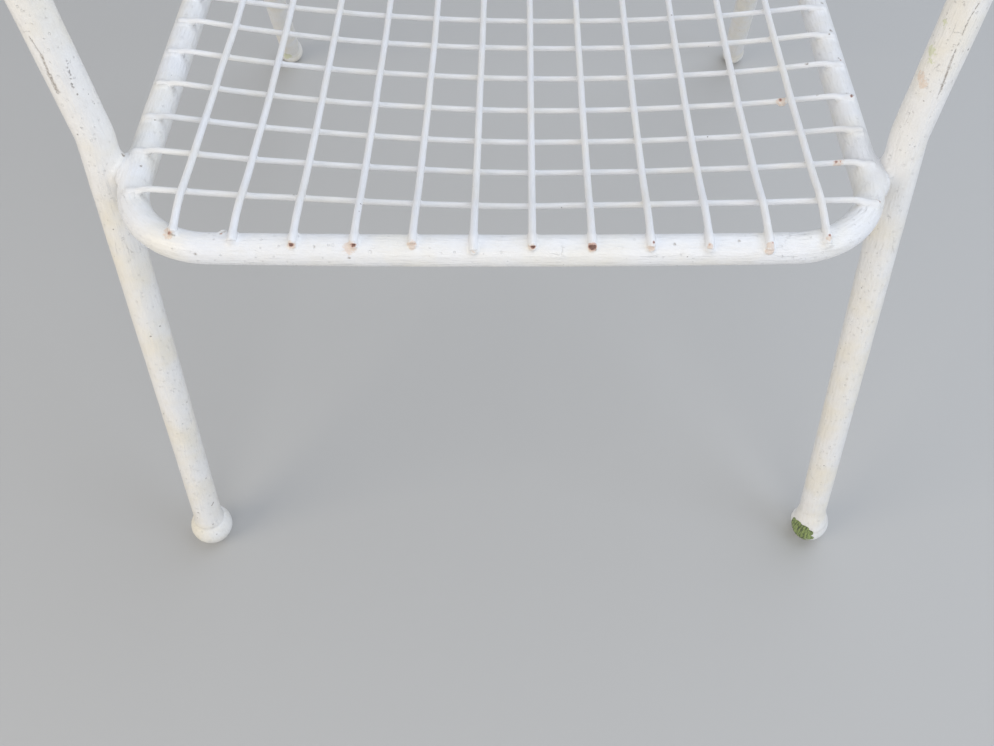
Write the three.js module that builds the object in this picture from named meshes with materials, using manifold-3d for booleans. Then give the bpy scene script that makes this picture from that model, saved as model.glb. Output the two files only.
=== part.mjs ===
// Retro lawn chair: a welded armchair of steel tube with a dished grid of steel wire.
// Millimetres, +Z up, the front towards -Y. Left is -X, as someone facing the chair sees it.
// The origin is on the floor, midway between the four feet.
import * as THREE from 'three';
import { mergeVertices } from 'three/addons/utils/BufferGeometryUtils.js';
import Module from 'manifold-3d';

const degree = Math.PI / 180;

// Stock: two sizes of tube, one of wire, and the ball feet
const frameTubeDiameter = 21;
const legTubeDiameter = 26;
const wireDiameter = 4.8;
const frontFootDiameter = 39;
const rearFootDiameter = 33;

// Clearances and small fits
const weldClearance = 0.3;
const crownClearance = 0.45;
const legStandOff = 1.6;
const footFlatDepth = 0.5;
const socketDepthBelowCentre = 5;
const socketForwardOffset = 2.5;

// Wire grid: wires run front to back on top of the cross wires
const wirePitch = 38.1;
const longWireCount = 12;
const crossWireCount = 23;
const firstCrossWireSetback = 39.6;
const outerWireMargin = 42.3;
const wireEndPastTube = 3;
const gridSag = 21.5;
const sagGrowthLength = 46;
const sagGrowthPower = 1.3;
// Sideways turn of the hand-laid cross wires: each left end lies further back than its right end
const crossWireSkew = 1.5 * degree;
// How far each hand-laid cross wire strays up the panel, at even places from its left end to its right
// end, as shares of the pitch. The wires behind these lie evenly.
const crossWireStrayShares = [
  [-0.12, -0.066, -0.022, -0.034, -0.047, -0.004, 0.003, -0.035, -0.084],
  [-0.058, -0.006, 0.039, 0.06, 0.039, 0.055, 0.049, 0.006, -0.044],
  [-0.076, -0.052, -0.021, -0.015, -0.029, -0.018, -0.028, -0.064, -0.092],
  [-0.065, -0.066, -0.062, -0.042, -0.052, -0.052, -0.056, -0.089, -0.103],
  [-0.034, -0.044, -0.037, -0.011, -0.015, -0.029, -0.039, -0.065, -0.059],
  [0.014, -0.009, -0.014, 0.009, 0.022, 0.004, -0.034, -0.08, -0.081],
  [-0.101, -0.07, -0.038, -0.012, -0.001, -0.009, -0.044, -0.093, -0.101],
];
// How far each long wire strays to the right, at even places from the front tube to the back's bend,
// as shares of the pitch
const longWireStrayShares = [
  [-0.055, -0.06, -0.033, 0.009, 0.015, 0],
  [-0.037, -0.04, -0.01, 0.006, 0.007, 0],
  [-0.017, -0.037, -0.027, -0.012, -0.003, 0],
  [0.005, -0.017, -0.005, 0.016, 0.014, 0],
  [-0.009, -0.013, 0.007, 0.028, 0.024, 0],
  [0.015, 0.003, 0.004, 0.015, 0.013, 0],
  [0.006, 0.01, 0.008, 0.009, 0.006, 0],
  [0.014, 0.018, 0.011, 0.003, 0.001, 0],
  [0.007, 0.016, 0.005, -0.001, -0.001, 0],
  [0.002, 0.012, -0.004, -0.02, -0.015, 0],
  [0.017, 0.016, -0.009, -0.023, -0.016, 0],
  [0.018, 0.009, -0.02, -0.04, -0.028, 0],
];
const evenShares = [0, 0];

// Seat and back frame: one outline folded at the back of the seat
const seatFrontHeight = 418.6;
const seatSlope = 2.7 * degree;
const seatRailLength = 400;
const foldStraightLength = 12;
const backBendRadius = 100;
const backRecline = 17 * degree;
const frontCornerRadius = 63;
const topCornerRadius = 90;
const frontBow = 5.7;
const frontBowRadius = 8160;

// Front legs, which run on upwards into the arms
const legSetback = 78;
const legRake = 10.6 * degree;
const legSplay = 2.6 * degree;
const postBendRise = 27;
const postFlare = 7.3 * degree;
const postBendRadius = 45;
const armJointWireCount = 18;
const armFall = 3 * degree;
const armFrontBendRadius = 75;
const armRearBendRadius = 90;
const armReturnLength = 95;

// Rear legs, set square to the bend of the frame
const rearLegTurnShare = 0.57;
const rearLegRake = 33.7 * degree;
const rearLegSplay = 8.1 * degree;

// Weld that fills the hollow between a seat rail and a front leg
const legWeldWidth = 20;
const legWeldLength = 26;
const legWeldHeight = 20;

// Facets
const tubeSides = 16;
const wireSides = 8;
const bendStep = 12 * degree;
const feetSides = 24;
const footRings = 12;
const weldSides = 16;
const crossWireSteps = 8;
// Places of the long wires' stations: near each end and along the straights, as shares of the pitch
const wireEndShares = [0.35, 0.65, 1];
const wireStepShare = 1.5;

// Finish: thick white paint over steel
const paint = { color: 0xeeede8, roughness: 0.35, metalness: 0.0 };
const footPaint = { color: 0xe9e8e2, roughness: 0.45, metalness: 0.0 };

// Sizes that follow from the ones above
const frameTubeRadius = frameTubeDiameter / 2;
const legTubeRadius = legTubeDiameter / 2;
const wireRadius = wireDiameter / 2;
const frontFootRadius = frontFootDiameter / 2;
const rearFootRadius = rearFootDiameter / 2;
const outerWirePlace = (longWireCount - 1) * wirePitch / 2;
const railPlace = outerWirePlace + outerWireMargin;
const foldTurn = Math.PI / 2 - backRecline + seatSlope;
const foldLength = backBendRadius * foldTurn;
const panelLength = 2 * firstCrossWireSetback + (crossWireCount - 1) * wirePitch;
const wireSeatHeight = frameTubeRadius + wireRadius + crownClearance;
const wireLayerHeight = wireDiameter + weldClearance;

// Side profile of the frame's centre line. run is the length along it from the front tube.
// Returns the place, the way ahead and the way out of the seat, all in the middle plane.
function profileAt(run) {
  const turn = THREE.MathUtils.clamp((run - seatRailLength) / backBendRadius, 0, foldTurn);
  const heading = turn - seatSlope;
  const foldStart = new THREE.Vector2(Math.cos(seatSlope), -Math.sin(seatSlope)).multiplyScalar(seatRailLength);
  const ahead = new THREE.Vector2(Math.cos(heading), Math.sin(heading));
  const out = new THREE.Vector2(-ahead.y, ahead.x);
  const foldOut = new THREE.Vector2(Math.sin(seatSlope), Math.cos(seatSlope));
  const place = new THREE.Vector2();
  if (run <= seatRailLength) place.copy(ahead).multiplyScalar(run);
  else {
    place.copy(foldStart).addScaledVector(foldOut, backBendRadius).addScaledVector(out, -backBendRadius);
    place.addScaledVector(ahead, Math.max(0, run - seatRailLength - foldLength));
  }
  return { place, ahead, out };
}

// The centre of a ball foot on a straight leg that passes a point and leans by two angles
function footPlace(point, rake, splay, side, footRadius) {
  const height = footRadius - footFlatDepth;
  const drop = point.z - height;
  return new THREE.Vector3(point.x + side * drop * Math.tan(splay), point.y + drop * Math.tan(rake), height);
}

// The front tube stands so that the feet reach as far forwards as backwards of the origin
const frontTubeY = (() => {
  const rail = profileAt(legSetback);
  const joint = profileAt(seatRailLength + rearLegTurnShare * foldLength);
  const passPoint = new THREE.Vector3(0, rail.place.x, seatFrontHeight + rail.place.y);
  const jointPoint = new THREE.Vector3(0, joint.place.x, seatFrontHeight + joint.place.y);
  const frontReach = footPlace(passPoint, -legRake, 0, 1, frontFootRadius).y - frontFootRadius;
  const rearReach = footPlace(jointPoint, rearLegRake, 0, 1, rearFootRadius).y + rearFootRadius;
  return -(frontReach + rearReach) / 2;
})();

// A point of the panel: sideways place, run along the profile and height above the frame's centre line
function panelPoint(x, run, height = 0) {
  const { place, out } = profileAt(run);
  return new THREE.Vector3(x, frontTubeY + place.x + height * out.x, seatFrontHeight + place.y + height * out.y);
}

// A path held by chosen stations, so that a straight needs two and a bend as many as it has steps
class StationPath extends THREE.Curve {
  constructor(points) {
    super();
    this.points = points;
    this.ways = points.map((point, i) => {
      const before = points[Math.max(i - 1, 0)];
      const after = points[Math.min(i + 1, points.length - 1)];
      const way = new THREE.Vector3().subVectors(after, before);
      if (i > 0 && i < points.length - 1) {
        const arrive = new THREE.Vector3().subVectors(point, before).normalize();
        const leave = new THREE.Vector3().subVectors(after, point).normalize();
        way.addVectors(arrive, leave);
      }
      return way.normalize();
    });
  }
  station(u) {
    return Math.round(u * (this.points.length - 1));
  }
  getPoint(u, target = new THREE.Vector3()) {
    return target.copy(this.points[this.station(u)]);
  }
  getPointAt(u, target) {
    return this.getPoint(u, target);
  }
  getTangentAt(u, target = new THREE.Vector3()) {
    return target.copy(this.ways[this.station(u)]);
  }
}

// Stations of a bent tube: straights between the corners, with a true arc at each corner
function bentStations(corners) {
  const stations = [corners[0].at.clone()];
  for (let i = 1; i < corners.length - 1; i++) {
    const { at, radius } = corners[i];
    const back = new THREE.Vector3().subVectors(corners[i - 1].at, at).normalize();
    const ahead = new THREE.Vector3().subVectors(corners[i + 1].at, at).normalize();
    const turn = Math.PI - back.angleTo(ahead);
    const setOff = radius * Math.tan(turn / 2);
    const start = at.clone().addScaledVector(back, setOff);
    const inward = new THREE.Vector3().addVectors(back, ahead).normalize();
    const centre = at.clone().addScaledVector(inward, radius / Math.cos(turn / 2));
    const spoke = new THREE.Vector3().subVectors(start, centre);
    const axis = new THREE.Vector3().crossVectors(ahead, back).normalize();
    const steps = Math.max(4, Math.ceil(turn / bendStep));
    for (let step = 0; step <= steps; step++) {
      stations.push(spoke.clone().applyAxisAngle(axis, turn * step / steps).add(centre));
    }
  }
  stations.push(corners[corners.length - 1].at.clone());
  return stations;
}

// A round bar swept along stations
function roundBar(stations, radius, sides) {
  const section = new THREE.Shape().absarc(0, 0, radius, 0, 2 * Math.PI);
  return new THREE.ExtrudeGeometry(section, {
    curveSegments: sides / 2,
    steps: stations.length - 1,
    extrudePath: new StationPath(stations),
  });
}

const solids = await Module();
solids.setup();

// A closed geometry as a solid that can be cut
function toSolid(geometry) {
  const bare = new THREE.BufferGeometry();
  bare.setAttribute('position', geometry.getAttribute('position').clone());
  if (geometry.index) bare.setIndex(geometry.index.clone());
  const welded = mergeVertices(bare);
  return new solids.Manifold(new solids.Mesh({
    numProp: 3,
    vertProperties: new Float32Array(welded.getAttribute('position').array),
    triVerts: new Uint32Array(welded.index.array),
  }));
}

function toGeometry(solid) {
  const mesh = solid.getMesh();
  const geometry = new THREE.BufferGeometry();
  geometry.setAttribute('position', new THREE.BufferAttribute(new Float32Array(mesh.vertProperties), 3));
  geometry.setIndex(new THREE.BufferAttribute(new Uint32Array(mesh.triVerts), 1));
  geometry.computeVertexNormals();
  return geometry;
}

// What is left of one geometry when others are cut away from it
function cutAway(geometry, tools) {
  let solid = toSolid(geometry);
  for (const tool of tools) solid = solid.subtract(toSolid(tool));
  return toGeometry(solid);
}

const chair = new THREE.Group();

function addPiece(name, geometry, finish = paint) {
  const material = new THREE.MeshStandardMaterial(finish);
  const piece = new THREE.Mesh(geometry, material);
  piece.name = name;
  chair.add(piece);
  return piece;
}

// Frame: the seat's half is a flat U, the back's half is folded and closed at the top
const foldCornerRun = seatRailLength + backBendRadius * Math.tan(foldTurn / 2);
const frameJointRun = seatRailLength - foldStraightLength;
const seatWay = new THREE.Vector3(0, Math.cos(seatSlope), -Math.sin(seatSlope));
const foldCorner = (side) => panelPoint(side * railPlace, 0).addScaledVector(seatWay, foldCornerRun);

const seatFrameCorners = [
  { at: panelPoint(-railPlace, frameJointRun - weldClearance) },
  { at: panelPoint(-railPlace, 0), radius: frontCornerRadius },
  { at: panelPoint(0, -frontBow), radius: frontBowRadius },
  { at: panelPoint(railPlace, 0), radius: frontCornerRadius },
  { at: panelPoint(railPlace, frameJointRun - weldClearance) },
];
const backFrameCorners = [
  { at: panelPoint(-railPlace, frameJointRun) },
  { at: foldCorner(-1), radius: backBendRadius },
  { at: panelPoint(-railPlace, panelLength), radius: topCornerRadius },
  { at: panelPoint(railPlace, panelLength), radius: topCornerRadius },
  { at: foldCorner(1), radius: backBendRadius },
  { at: panelPoint(railPlace, frameJointRun) },
];
addPiece('seat_frame', roundBar(bentStations(seatFrameCorners), frameTubeRadius, tubeSides));
addPiece('back_frame', roundBar(bentStations(backFrameCorners), frameTubeRadius, tubeSides));

// The same outlines grown by the weld clearance, as tools that shape the tube ends
const seatFrameTool = roundBar(bentStations(seatFrameCorners), frameTubeRadius + weldClearance, tubeSides);
const backFrameTool = roundBar(bentStations(backFrameCorners), frameTubeRadius + weldClearance, tubeSides);

// Run at which the frame's front tube and top tube pass a place x, with their bow and corners
function cornerSetback(x, radius) {
  const reach = THREE.MathUtils.clamp(Math.abs(x) - (railPlace - radius), 0, radius);
  return radius - Math.sqrt(radius * radius - reach * reach);
}

function frontEdgeRun(x) {
  const lean = frontBow / railPlace;
  const arcEnd = frontBowRadius * lean;
  const place = Math.abs(x);
  const bow = place < arcEnd ? (arcEnd * arcEnd - place * place) / (2 * frontBowRadius) : 0;
  return cornerSetback(x, frontCornerRadius) - bow - lean * (railPlace - Math.max(place, arcEnd));
}

function topEdgeRun(x) {
  return panelLength - cornerSetback(x, topCornerRadius);
}

// Sideways place of the side rails' centre line at a run, drawn in at the corners
function railPlaceAt(run) {
  const front = cornerShift(frontCornerRadius, run);
  const top = cornerShift(topCornerRadius, panelLength - run);
  return railPlace - front - top;
}

function cornerShift(radius, length) {
  const short = THREE.MathUtils.clamp(radius - length, 0, radius);
  return radius - Math.sqrt(radius * radius - short * short);
}

// Height of a cross wire above the frame's centre line. The grid hangs between the rails as a shallow
// dish, which deepens behind the front tube and runs out again below the top tube.
function dishHeight(x, run) {
  const growth = (length) => 1 - Math.exp(-((Math.max(length, 0) / sagGrowthLength) ** sagGrowthPower));
  const across = Math.min(1, Math.abs(x) / railPlaceAt(run));
  const depth = gridSag * growth(run - frontEdgeRun(x)) * growth(topEdgeRun(x) - run);
  return wireSeatHeight - depth * (1 - across * across);
}

// Stray of a hand-laid wire at a place along it from 0 to 1, smooth between the shares of its row
function strayAt(shares, along) {
  const place = THREE.MathUtils.clamp(along, 0, 1) * (shares.length - 1);
  const index = Math.min(Math.floor(place), shares.length - 2);
  const blend = THREE.MathUtils.smoothstep(place - index, 0, 1);
  return wirePitch * THREE.MathUtils.lerp(shares[index], shares[index + 1], blend);
}

// Cross wires: from rail to rail under the long wires
function crossWireStations(index) {
  const run = firstCrossWireSetback + index * wirePitch;
  const slant = run < seatRailLength ? Math.tan(crossWireSkew) : 0;
  const shares = crossWireStrayShares[index] ?? evenShares;
  const rail = railPlaceAt(run);
  const places = [-rail - wireEndPastTube];
  for (let step = 0; step <= crossWireSteps; step++) places.push(rail * (2 * step / crossWireSteps - 1));
  places.push(rail + wireEndPastTube);
  return places.map((x) => {
    const at = run - x * slant + strayAt(shares, (x / rail + 1) / 2);
    return panelPoint(x, at, dishHeight(x, at));
  });
}

for (let index = 0; index < crossWireCount; index++) {
  const name = `cross_wire_${String(index + 1).padStart(2, '0')}`;
  addPiece(name, roundBar(crossWireStations(index), wireRadius, wireSides));
}

// Long wires: from the crown of the front tube over the seat, round the fold and up to the top tube
function longWireStations(index) {
  const shares = longWireStrayShares[index] ?? evenShares;
  const placeAt = (run) => index * wirePitch - outerWirePlace + strayAt(shares, run / seatRailLength);
  const rest = (length) => THREE.MathUtils.smoothstep(length, 0, firstCrossWireSetback - wireDiameter);
  const first = frontEdgeRun(placeAt(0));
  const last = topEdgeRun(placeAt(panelLength));
  const stations = [];
  const place = (run) => {
    const lift = wireLayerHeight * rest(run - first) * rest(last - run);
    stations.push(panelPoint(placeAt(run), run, dishHeight(placeAt(run), run) + lift));
  };
  const endRuns = [-wireEndPastTube, ...wireEndShares.map((share) => share * wirePitch)];
  const step = wireStepShare * wirePitch;
  for (const run of endRuns) place(first + run);
  for (let run = wirePitch + step; run < seatRailLength; run += step) place(run);
  const foldSteps = Math.ceil(foldTurn / bendStep);
  for (let i = 0; i <= foldSteps; i++) place(seatRailLength + foldLength * i / foldSteps);
  const backStart = seatRailLength + foldLength + wirePitch;
  const backLength = last - wirePitch - backStart;
  const backSteps = Math.ceil(backLength / step);
  for (let i = 0; i < backSteps; i++) place(backStart + backLength * i / backSteps);
  for (const run of endRuns.reverse()) place(last - run);
  return stations;
}

for (let index = 0; index < longWireCount; index++) {
  const name = `long_wire_${String(index + 1).padStart(2, '0')}`;
  addPiece(name, roundBar(longWireStations(index), wireRadius, wireSides));
}

// Ball foot: a ball with a small flat to stand on and a socket for the leg's end
function ballFoot(centre, footRadius, legStations) {
  const flatRadius = Math.sqrt(footRadius ** 2 - centre.z ** 2);
  const start = Math.atan2(flatRadius, centre.z);
  const outline = [new THREE.Vector2(0, -centre.z)];
  for (let ring = 0; ring <= footRings; ring++) {
    const angle = start + (Math.PI - start) * ring / footRings;
    const reach = ring === footRings ? 0 : footRadius * Math.sin(angle);
    outline.push(new THREE.Vector2(reach, -footRadius * Math.cos(angle)));
  }
  const ball = new THREE.LatheGeometry(outline, feetSides);
  ball.rotateX(Math.PI / 2);
  ball.translate(centre.x, centre.y, centre.z);
  const socket = roundBar(legStations, legTubeRadius + weldClearance, tubeSides);
  return cutAway(ball, [socket]);
}

// A leg's lower end inside its foot, in front of the ball's centre
function legEnd(foot, up) {
  const forward = new THREE.Vector3(0, -socketForwardOffset, 0);
  return foot.clone().add(forward).addScaledVector(up, -socketDepthBelowCentre);
}

// The socket starts a clearance deeper than the leg's end
function socketStations(end, up, footRadius) {
  return [end.clone().addScaledVector(up, -weldClearance), end.clone().addScaledVector(up, 2 * footRadius)];
}

// Side tube: front leg, post and arm in one bent tube, shaped at its rear end to sit on the back frame
function sideTube(side, label) {
  const legPlace = railPlace + frameTubeRadius + legStandOff + legTubeRadius;
  const pass = panelPoint(side * legPlace, legSetback);
  const down = new THREE.Vector3(side * Math.tan(legSplay), -Math.tan(legRake), -1);
  const up = down.clone().negate().normalize();
  const foot = footPlace(pass, -legRake, legSplay, side, frontFootRadius);
  const end = legEnd(foot, up);
  const offset = new THREE.Vector3(0, -socketForwardOffset, 0);
  const bend = pass.clone().add(offset).addScaledVector(up, postBendRise);
  // The arm meets the back upright midway between two cross wires
  const joint = panelPoint(side * railPlace, firstCrossWireSetback + (armJointWireCount - 1 / 2) * wirePitch);
  const postWay = new THREE.Vector3(side * Math.tan(postFlare), Math.tan(legRake), 1);
  const fall = Math.tan(armFall);
  const postRise = (joint.z - bend.z + (joint.y - bend.y) * fall) / (1 + postWay.y * fall);
  const shoulder = bend.clone().addScaledVector(postWay, postRise);
  const elbow = new THREE.Vector3(shoulder.x, joint.y - armReturnLength, joint.z + armReturnLength * fall);
  const stations = bentStations([
    { at: end },
    { at: bend, radius: postBendRadius },
    { at: shoulder, radius: armFrontBendRadius },
    { at: elbow, radius: armRearBendRadius },
    { at: joint },
  ]);
  const whole = roundBar(stations, legTubeRadius, tubeSides);
  addPiece(`${label}_side_tube`, cutAway(whole, [backFrameTool]));
  const socket = socketStations(end, up, frontFootRadius);
  addPiece(`${label}_front_foot`, ballFoot(foot, frontFootRadius, socket), footPaint);
  addLegWeld(side, label, stations);
}

// Weld between the seat rail and the front leg: a bead with both tubes taken out of it
function addLegWeld(side, label, legStations) {
  const middle = panelPoint(side * (railPlace + frameTubeRadius + legStandOff / 2), legSetback);
  const bead = new THREE.SphereGeometry(legWeldWidth / 2, weldSides, weldSides / 2);
  bead.scale(1, legWeldLength / legWeldWidth, legWeldHeight / legWeldWidth);
  bead.rotateX(-seatSlope);
  bead.translate(middle.x, middle.y, middle.z);
  const legTool = roundBar(legStations, legTubeRadius + weldClearance, tubeSides);
  addPiece(`${label}_leg_weld`, cutAway(bead, [seatFrameTool, legTool]));
}

// Rear leg: a straight tube shaped at its top to the underside of the frame's bend
function rearLeg(side, label) {
  const joint = panelPoint(side * railPlace, seatRailLength + rearLegTurnShare * foldLength);
  const down = new THREE.Vector3(side * Math.tan(rearLegSplay), Math.tan(rearLegRake), -1);
  const up = down.clone().negate().normalize();
  const foot = footPlace(joint, rearLegRake, rearLegSplay, side, rearFootRadius);
  const end = foot.clone().addScaledVector(up, -socketDepthBelowCentre);
  const whole = roundBar([end, joint], legTubeRadius, tubeSides);
  addPiece(`${label}_rear_leg`, cutAway(whole, [backFrameTool]));
  const socket = socketStations(end, up, rearFootRadius);
  addPiece(`${label}_rear_foot`, ballFoot(foot, rearFootRadius, socket), footPaint);
}

for (const [side, label] of [[-1, 'left'], [1, 'right']]) {
  sideTube(side, label);
  rearLeg(side, label);
}

export default chair;
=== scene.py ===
# %% [markdown]
# # A white steel lawn chair, in Blender
# The real chair is bent steel tube with a dished grid of wire welded into it, brushed with thick white
# paint many times over. Everything here is built round the same centre lines as the CAD frame, so each
# painted piece lies where its solid lies. We load that frame first.
# %% Load the fixed frame
import math
import bmesh
import bpy
from mathutils import Matrix, Vector, noise
from mathutils.kdtree import KDTree


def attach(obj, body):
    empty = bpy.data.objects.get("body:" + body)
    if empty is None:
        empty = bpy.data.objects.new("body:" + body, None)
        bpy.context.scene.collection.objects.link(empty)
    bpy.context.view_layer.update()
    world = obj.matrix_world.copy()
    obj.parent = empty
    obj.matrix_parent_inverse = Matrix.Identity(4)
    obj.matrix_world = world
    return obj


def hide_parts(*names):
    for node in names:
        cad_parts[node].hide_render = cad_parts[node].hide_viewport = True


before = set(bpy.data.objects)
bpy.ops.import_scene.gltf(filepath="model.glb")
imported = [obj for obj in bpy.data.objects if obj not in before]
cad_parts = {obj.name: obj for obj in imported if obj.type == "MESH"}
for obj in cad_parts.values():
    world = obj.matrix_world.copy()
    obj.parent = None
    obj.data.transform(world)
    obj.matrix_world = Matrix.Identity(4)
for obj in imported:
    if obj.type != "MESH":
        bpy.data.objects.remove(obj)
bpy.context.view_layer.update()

scene = bpy.context.scene
MM = 0.001

# %% [markdown]
# ## Camera
# The photograph looks steeply down on the seat from in front. A camera has a place, a turn about the
# upright axis, a dip below the horizon and a small roll, so we write it with these four values instead
# of guessing Euler angles. The shift moves the picture's centre off the lens axis, as a crop does.
# %% Camera at the photograph's viewing angle
PICTURE_WIDTH = 994
SENSOR_WIDTH = 36.0
FOCAL_PIXELS = 997.84
SHIFT_PIXELS = (-43.73, 38.51)
camera_place = Vector((13.85, -819.32, 903.52)) * MM
camera_turn, camera_dip, camera_roll = map(math.radians, (-1.704, 56.604, 1.246))

camera_data = bpy.data.cameras.new("camera")
camera_data.sensor_fit = "HORIZONTAL"
camera_data.sensor_width = SENSOR_WIDTH
camera_data.lens = SENSOR_WIDTH * FOCAL_PIXELS / PICTURE_WIDTH
camera_data.shift_x = SHIFT_PIXELS[0] / PICTURE_WIDTH
camera_data.shift_y = SHIFT_PIXELS[1] / PICTURE_WIDTH
camera_data.clip_start = 0.05
camera = bpy.data.objects.new("camera", camera_data)
scene.collection.objects.link(camera)
aim = Matrix.Rotation(camera_turn, 4, "Z") @ Matrix.Rotation(math.pi / 2 - camera_dip, 4, "X")
camera.matrix_world = Matrix.Translation(camera_place) @ aim @ Matrix.Rotation(camera_roll, 4, "Z")
scene.camera = camera
print("lens", round(camera_data.lens, 2), "mm")

# %% [markdown]
# ## Floor and light
# White paint shows its roundness only through soft differences in light. A broad, slightly cool lamp
# stands for the sky, a cool one on the right and a warm one on the left model the legs, a weak one in
# front lights the tube's face, and an even world keeps the undersides readable. The floor is plain and
# pale, so nothing competes with the chair.
# %% Floor, world and lamps
scene.view_settings.view_transform = "Standard"

floor_paint = bpy.data.materials.new("floor_matte")
floor_paint.use_nodes = True
floor_shader = floor_paint.node_tree.nodes["Principled BSDF"]
floor_shader.inputs["Base Color"].default_value = (0.5, 0.5, 0.49, 1.0)
floor_shader.inputs["Roughness"].default_value = 0.9
floor_mesh = bpy.data.meshes.new("floor")
bm = bmesh.new()
bmesh.ops.create_grid(bm, x_segments=1, y_segments=1, size=6.0)
bm.to_mesh(floor_mesh)
bm.free()
floor = bpy.data.objects.new("floor", floor_mesh)
scene.collection.objects.link(floor)
floor_mesh.materials.append(floor_paint)

world = bpy.data.worlds.new("soft_room")
world.use_nodes = True
backdrop = world.node_tree.nodes["Background"].inputs
backdrop["Color"].default_value = (0.9, 0.93, 1.0, 1.0)
backdrop["Strength"].default_value = 0.52
scene.world = world

SEAT_MIDDLE = Vector((0.0, -0.1, 0.42))
LAMPS = (
    # name, place, width, power in watts, colour
    ("sky_lamp", (1.2, 0.8, 2.6), 3.2, 33.5, (0.81, 0.885, 1.0)),
    ("cool_lamp", (2.4, -1.5, 1.3), 2.0, 20.0, (0.76, 0.85, 1.0)),
    ("warm_lamp", (-2.3, -1.6, 1.3), 2.0, 28.0, (1.0, 0.89, 0.73)),
    ("front_lamp", (0.3, -2.8, 1.6), 2.0, 18.0, (1.0, 0.97, 0.93)),
)
for name, place, width, power, colour in LAMPS:
    light = bpy.data.lights.new(name, "AREA")
    light.shape = "DISK"
    light.size = width
    light.energy = power
    light.color = colour
    lamp = bpy.data.objects.new(name, light)
    scene.collection.objects.link(lamp)
    facing = (SEAT_MIDDLE - Vector(place)).to_track_quat("-Z", "Y").to_matrix().to_4x4()
    lamp.matrix_world = Matrix.Translation(Vector(place)) @ facing

# %% [markdown]
# ## Sizes
# The chair was drawn from a few sizes: two tubes, one wire, the spacing of the grid and the bends.
# Blender works in metres, so the millimetre values are scaled once, here.
# %% Sizes of the chair
FRAME_RADIUS = 10.5 * MM
LEG_RADIUS = 13.0 * MM
WIRE_RADIUS = 2.4 * MM
CROSS_RADIUS = 2.2 * MM
LONG_RADIUS = 2.6 * MM
FRONT_FOOT_RADIUS = 19.5 * MM
REAR_FOOT_RADIUS = 16.5 * MM
FOOT_FLAT = 0.5 * MM
SOCKET_DEPTH = 5.0 * MM
SOCKET_FORWARD = 2.5 * MM
CROWN_GAP = 0.45 * MM
LAYER_GAP = 0.3 * MM
WIRE_PITCH = 38.1 * MM
LONG_WIRES = 12
CROSS_WIRES = 23
FIRST_CROSS_WIRE = 39.6 * MM
WIRE_MARGIN = 42.3 * MM
WIRE_END = 3.0 * MM
GRID_SAG = 21.5 * MM
SAG_LENGTH = 46.0 * MM
SAG_POWER = 1.3
CROSS_SKEW = math.radians(1.5)
SEAT_HEIGHT = 418.6 * MM
SEAT_SLOPE = math.radians(2.7)
SEAT_LENGTH = 400.0 * MM
FOLD_LEAD = 12.0 * MM
BEND_RADIUS = 100.0 * MM
RECLINE = math.radians(17.0)
FRONT_CORNER = 63.0 * MM
TOP_CORNER = 90.0 * MM
FRONT_BOW = 5.7 * MM
BOW_RADIUS = 8160.0 * MM
LEG_SETBACK = 78.0 * MM
LEG_STAND_OFF = 1.6 * MM
LEG_RAKE = math.radians(10.6)
LEG_SPLAY = math.radians(2.6)
POST_RISE = 27.0 * MM
POST_FLARE = math.radians(7.3)
POST_RADIUS = 45.0 * MM
ARM_JOINT_WIRES = 18
ARM_FALL = math.radians(3.0)
ARM_FRONT_RADIUS = 75.0 * MM
ARM_REAR_RADIUS = 90.0 * MM
ARM_RETURN = 95.0 * MM
REAR_TURN_SHARE = 0.57
REAR_RAKE = math.radians(33.7)
REAR_SPLAY = math.radians(8.1)

OUTER_WIRE = (LONG_WIRES - 1) * WIRE_PITCH / 2
RAIL = OUTER_WIRE + WIRE_MARGIN
FOLD_TURN = math.pi / 2 - RECLINE + SEAT_SLOPE
FOLD_LENGTH = BEND_RADIUS * FOLD_TURN
PANEL_LENGTH = 2 * FIRST_CROSS_WIRE + (CROSS_WIRES - 1) * WIRE_PITCH
print("rails stand", round(2 * RAIL / MM, 1), "mm apart, panel", round(PANEL_LENGTH / MM, 1), "mm long")

# %% [markdown]
# ## Centre lines
# The seat and back share one folded surface. A place on it is a run (how far from the front tube), a
# sideways place and a height off the tubes' centre line. Every piece below is laid out with these three.
# %% The folded panel
def clamp(value, low, high):
    return max(low, min(high, value))


def profile_at(run):
    """Place, way ahead and way out of the seat at a run, in the middle plane (y, z)."""
    turn = clamp((run - SEAT_LENGTH) / BEND_RADIUS, 0.0, FOLD_TURN)
    heading = turn - SEAT_SLOPE
    ahead = Vector((math.cos(heading), math.sin(heading)))
    out = Vector((-ahead.y, ahead.x))
    if run <= SEAT_LENGTH:
        return ahead * run, ahead, out
    start = Vector((math.cos(SEAT_SLOPE), -math.sin(SEAT_SLOPE))) * SEAT_LENGTH
    start_out = Vector((math.sin(SEAT_SLOPE), math.cos(SEAT_SLOPE)))
    place = start + start_out * BEND_RADIUS - out * BEND_RADIUS
    return place + ahead * max(0.0, run - SEAT_LENGTH - FOLD_LENGTH), ahead, out


rail_place, _, _ = profile_at(LEG_SETBACK)
rear_place, _, _ = profile_at(SEAT_LENGTH + REAR_TURN_SHARE * FOLD_LENGTH)
front_drop = SEAT_HEIGHT + rail_place.y - FRONT_FOOT_RADIUS + FOOT_FLAT
rear_drop = SEAT_HEIGHT + rear_place.y - REAR_FOOT_RADIUS + FOOT_FLAT
front_reach = rail_place.x - front_drop * math.tan(LEG_RAKE) - FRONT_FOOT_RADIUS
rear_reach = rear_place.x + rear_drop * math.tan(REAR_RAKE) + REAR_FOOT_RADIUS
FRONT_TUBE_Y = -(front_reach + rear_reach) / 2


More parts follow.
